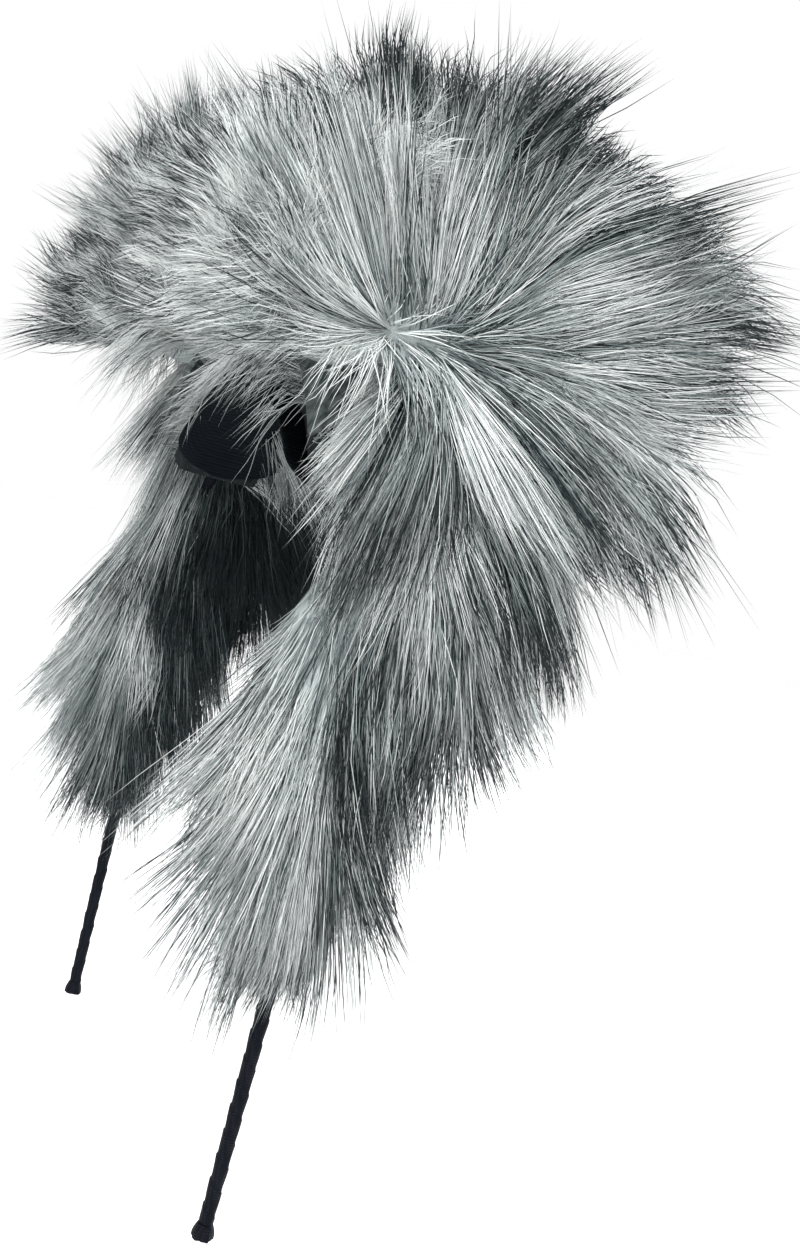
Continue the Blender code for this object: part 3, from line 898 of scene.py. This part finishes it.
def lining_rings():
    """Rings across the pad, from end to end: its upper side, then its crowned lower side."""
    _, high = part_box("crown_lining")
    end = LINING_REACH
    top = 4.6 * MM
    places = np.linspace(-end, end, 61)
    centre, normal, _ = band(places)
    across = np.linspace(-1, 1, 25)
    half = high[1]
    depth = 0.8 * MM + 2.1 * MM * (1 - np.abs(across) ** 4)
    closing = 1 - np.abs(places / end) ** 6
    sunk = 0.8 * MM * np.clip((np.abs(places / end) - 0.7) / 0.3, 0, 1) ** 2
    narrowing = np.sqrt(1 - np.clip((np.abs(places / end) - 0.8) / 0.2, 0, 0.98) ** 2)
    rings = []
    for i in range(len(places)):
        upper = [centre[i] - normal[i] * (top - sunk[i]) + [0, half * narrowing[i] * a, 0] for a in across]
        under = top - sunk[i] + depth * (0.2 + 0.8 * closing[i])
        lower = [centre[i] - normal[i] * d + [0, half * narrowing[i] * a, 0] for a, d in zip(across, under)]
        rings.append(upper + lower[::-1])
    return rings


def add_lining(velvet):
    """The soft pad under the crown: crowned between its sewn edges."""
    rings = lining_rings()
    vertices = [point for ring in rings for point in ring]
    pad = solid("crown_lining_pad", vertices, ring_faces(len(rings), len(rings[0])), velvet)
    fix_normals(pad)
    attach(pad, "crown")
    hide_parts("crown_lining")


def dress_nodes(materials):
    """Better materials for the CAD nodes that stay."""
    for node, material in materials.items():
        for item in bpy.data.objects:
            if item.name == node:
                for slot in item.material_slots:
                    slot.material = material


# ---------------------------------------------------------------- stage


LIGHT_TARGET = Vector((0, 0, -0.02))
CAMERA_TARGET = Vector((0, 30.75, -36.6)) * MM
CAMERA_DISTANCE = 321  # in millimetres
CAMERA_LENS = 47.2  # in millimetres, on a sensor 36 wide


def add_stage():
    scene = bpy.context.scene
    scene.view_settings.view_transform = "Standard"
    world = bpy.data.worlds.new("white_studio")
    world.use_nodes = True
    world.node_tree.nodes["Background"].inputs["Color"].default_value = (1, 1, 1, 1)
    world.node_tree.nodes["Background"].inputs["Strength"].default_value = 1.0
    scene.world = world
    floor_mat, _, shader = new_material("pale_floor")
    shader.inputs["Base Color"].default_value = (0.99, 0.99, 0.99, 1)
    shader.inputs["Roughness"].default_value = 0.9
    mesh = bmesh.new()
    bmesh.ops.create_grid(mesh, x_segments=1, y_segments=1, size=4)
    data = bpy.data.meshes.new("floor")
    mesh.to_mesh(data)
    mesh.free()
    data.materials.append(floor_mat)
    floor = bpy.data.objects.new("floor", data)
    floor.location.z = cad_box[0][2] - 25 * MM
    scene.collection.objects.link(floor)


def add_light(name, place, power, size):
    """A soft square light that faces the headband."""
    lamp = bpy.data.lights.new(name, "AREA")
    lamp.energy = power
    lamp.size = size
    item = bpy.data.objects.new(name, lamp)
    item.location = place
    item.rotation_euler = (LIGHT_TARGET - Vector(place)).to_track_quat("-Z", "Y").to_euler()
    bpy.context.scene.collection.objects.link(item)


def add_camera():
    """Close to the left arm and a little in front, near the height of the crown, rolled so the arms lean."""
    azimuth, elevation, roll = radians(66.8), radians(3.3), radians(14.5)
    level = np.cos(elevation)
    away = Vector((np.sin(azimuth) * level, -np.cos(azimuth) * level, np.sin(elevation)))
    forward = -away
    right = forward.cross(Vector((0, 0, 1))).normalized()
    up = right.cross(forward)
    rolled_right = np.cos(roll) * right + np.sin(roll) * up
    rolled_up = np.cos(roll) * up - np.sin(roll) * right
    camera = bpy.data.objects.new("camera", bpy.data.cameras.new("camera"))
    camera.data.lens = CAMERA_LENS
    camera.data.sensor_width = 36
    camera.data.clip_start = 0.01
    camera.data.dof.use_dof = False
    turned = Matrix((rolled_right, rolled_up, away)).transposed().to_4x4()
    camera.matrix_world = Matrix.Translation(CAMERA_TARGET + away * CAMERA_DISTANCE * MM) @ turned
    bpy.context.scene.collection.objects.link(camera)
    bpy.context.scene.camera = camera


def make_materials():
    """Every material, by the name of what it covers."""
    along_nap = (1, 0.35, 1)
    # The arm ground's colour near the head is painted shade.
    inner_shade_colour = (0.008, 0.012, 0.014)
    return {
        "strands": strand_material(),
        "arm_pelt": pelt_material(
            "fur_ground", (0.10, 0.12, 0.12), (0.36, 0.40, 0.40), 12, along_nap, NAP, inner_shade_colour
        ),
        "crown_pelt": pelt_material("crown_ground", (0.004, 0.006, 0.007), (0.018, 0.022, 0.024), 900),
        "ear_core": pelt_material("ear_ground", (0.12, 0.14, 0.14), (0.40, 0.44, 0.44), 12, along_nap, NAP),
        "ribbon": cloth_material(
            "ribbon_cloth", (0.001, 0.0015, 0.003), (0.006, 0.0075, 0.013), 700, 0.6, gloss=0.06
        ),
        "lining": cloth_material(
            "black_lining", (0.002, 0.003, 0.004), (0.008, 0.010, 0.013), 500, 0.95, gloss=0.02
        ),
        "hem": cloth_material("gathered_cloth", (0.006, 0.007, 0.011), (0.02, 0.022, 0.03), 600, 0.85),
        "seat": pelt_material("ear_seat_cloth", (0.03, 0.04, 0.04), (0.14, 0.16, 0.16), 900),
        "felt": pelt_material("stiffener_felt", (0.35, 0.37, 0.37), (0.6, 0.62, 0.62), 1500),
        "thread": cloth_material(
            "sewing_thread", (0.08, 0.10, 0.10), (0.22, 0.25, 0.25), 1500, 0.7, 0.05 * MM
        ),
        "steel": steel_material(),
    }


def node_materials(made):
    """The material of each CAD node that stays."""
    kept = {"band_core_crown": made["steel"], "band_ribbon_crown": made["ribbon"]}
    for name in SIDES:
        kept[f"{name}_band_core"] = made["steel"]
        kept[f"{name}_sleeve_hem"] = made["hem"]
        kept[f"{name}_ear_seat"] = made["seat"]
        kept[f"{name}_ear_stiffener"] = made["felt"]
        kept[f"{name}_ear_edge_thread"] = made["thread"]
    return kept


def main():
    add_stage()
    add_camera()
    add_light("key", (0.7, -0.6, 0.6), 13, 0.35)
    add_light("side", (0.9, 0.6, 0.3), 4, 0.5)
    add_light("back", (-0.6, 0.9, 0.5), 9, 0.5)
    made = make_materials()
    for name, side in SIDES.items():
        add_arm_fur(name, side, made["strands"])
        add_ear_fur(name, made["strands"])
    add_crown_fur(made["strands"])
    add_fringe(made["strands"])
    add_crown_pelt(made["crown_pelt"])
    for name, side in SIDES.items():
        add_arm_pelt(name, side, made["arm_pelt"])
        add_ear_core(name, made["ear_core"])
    add_band(made["ribbon"])
    add_lining(made["lining"])
    dress_nodes(node_materials(made))


main()
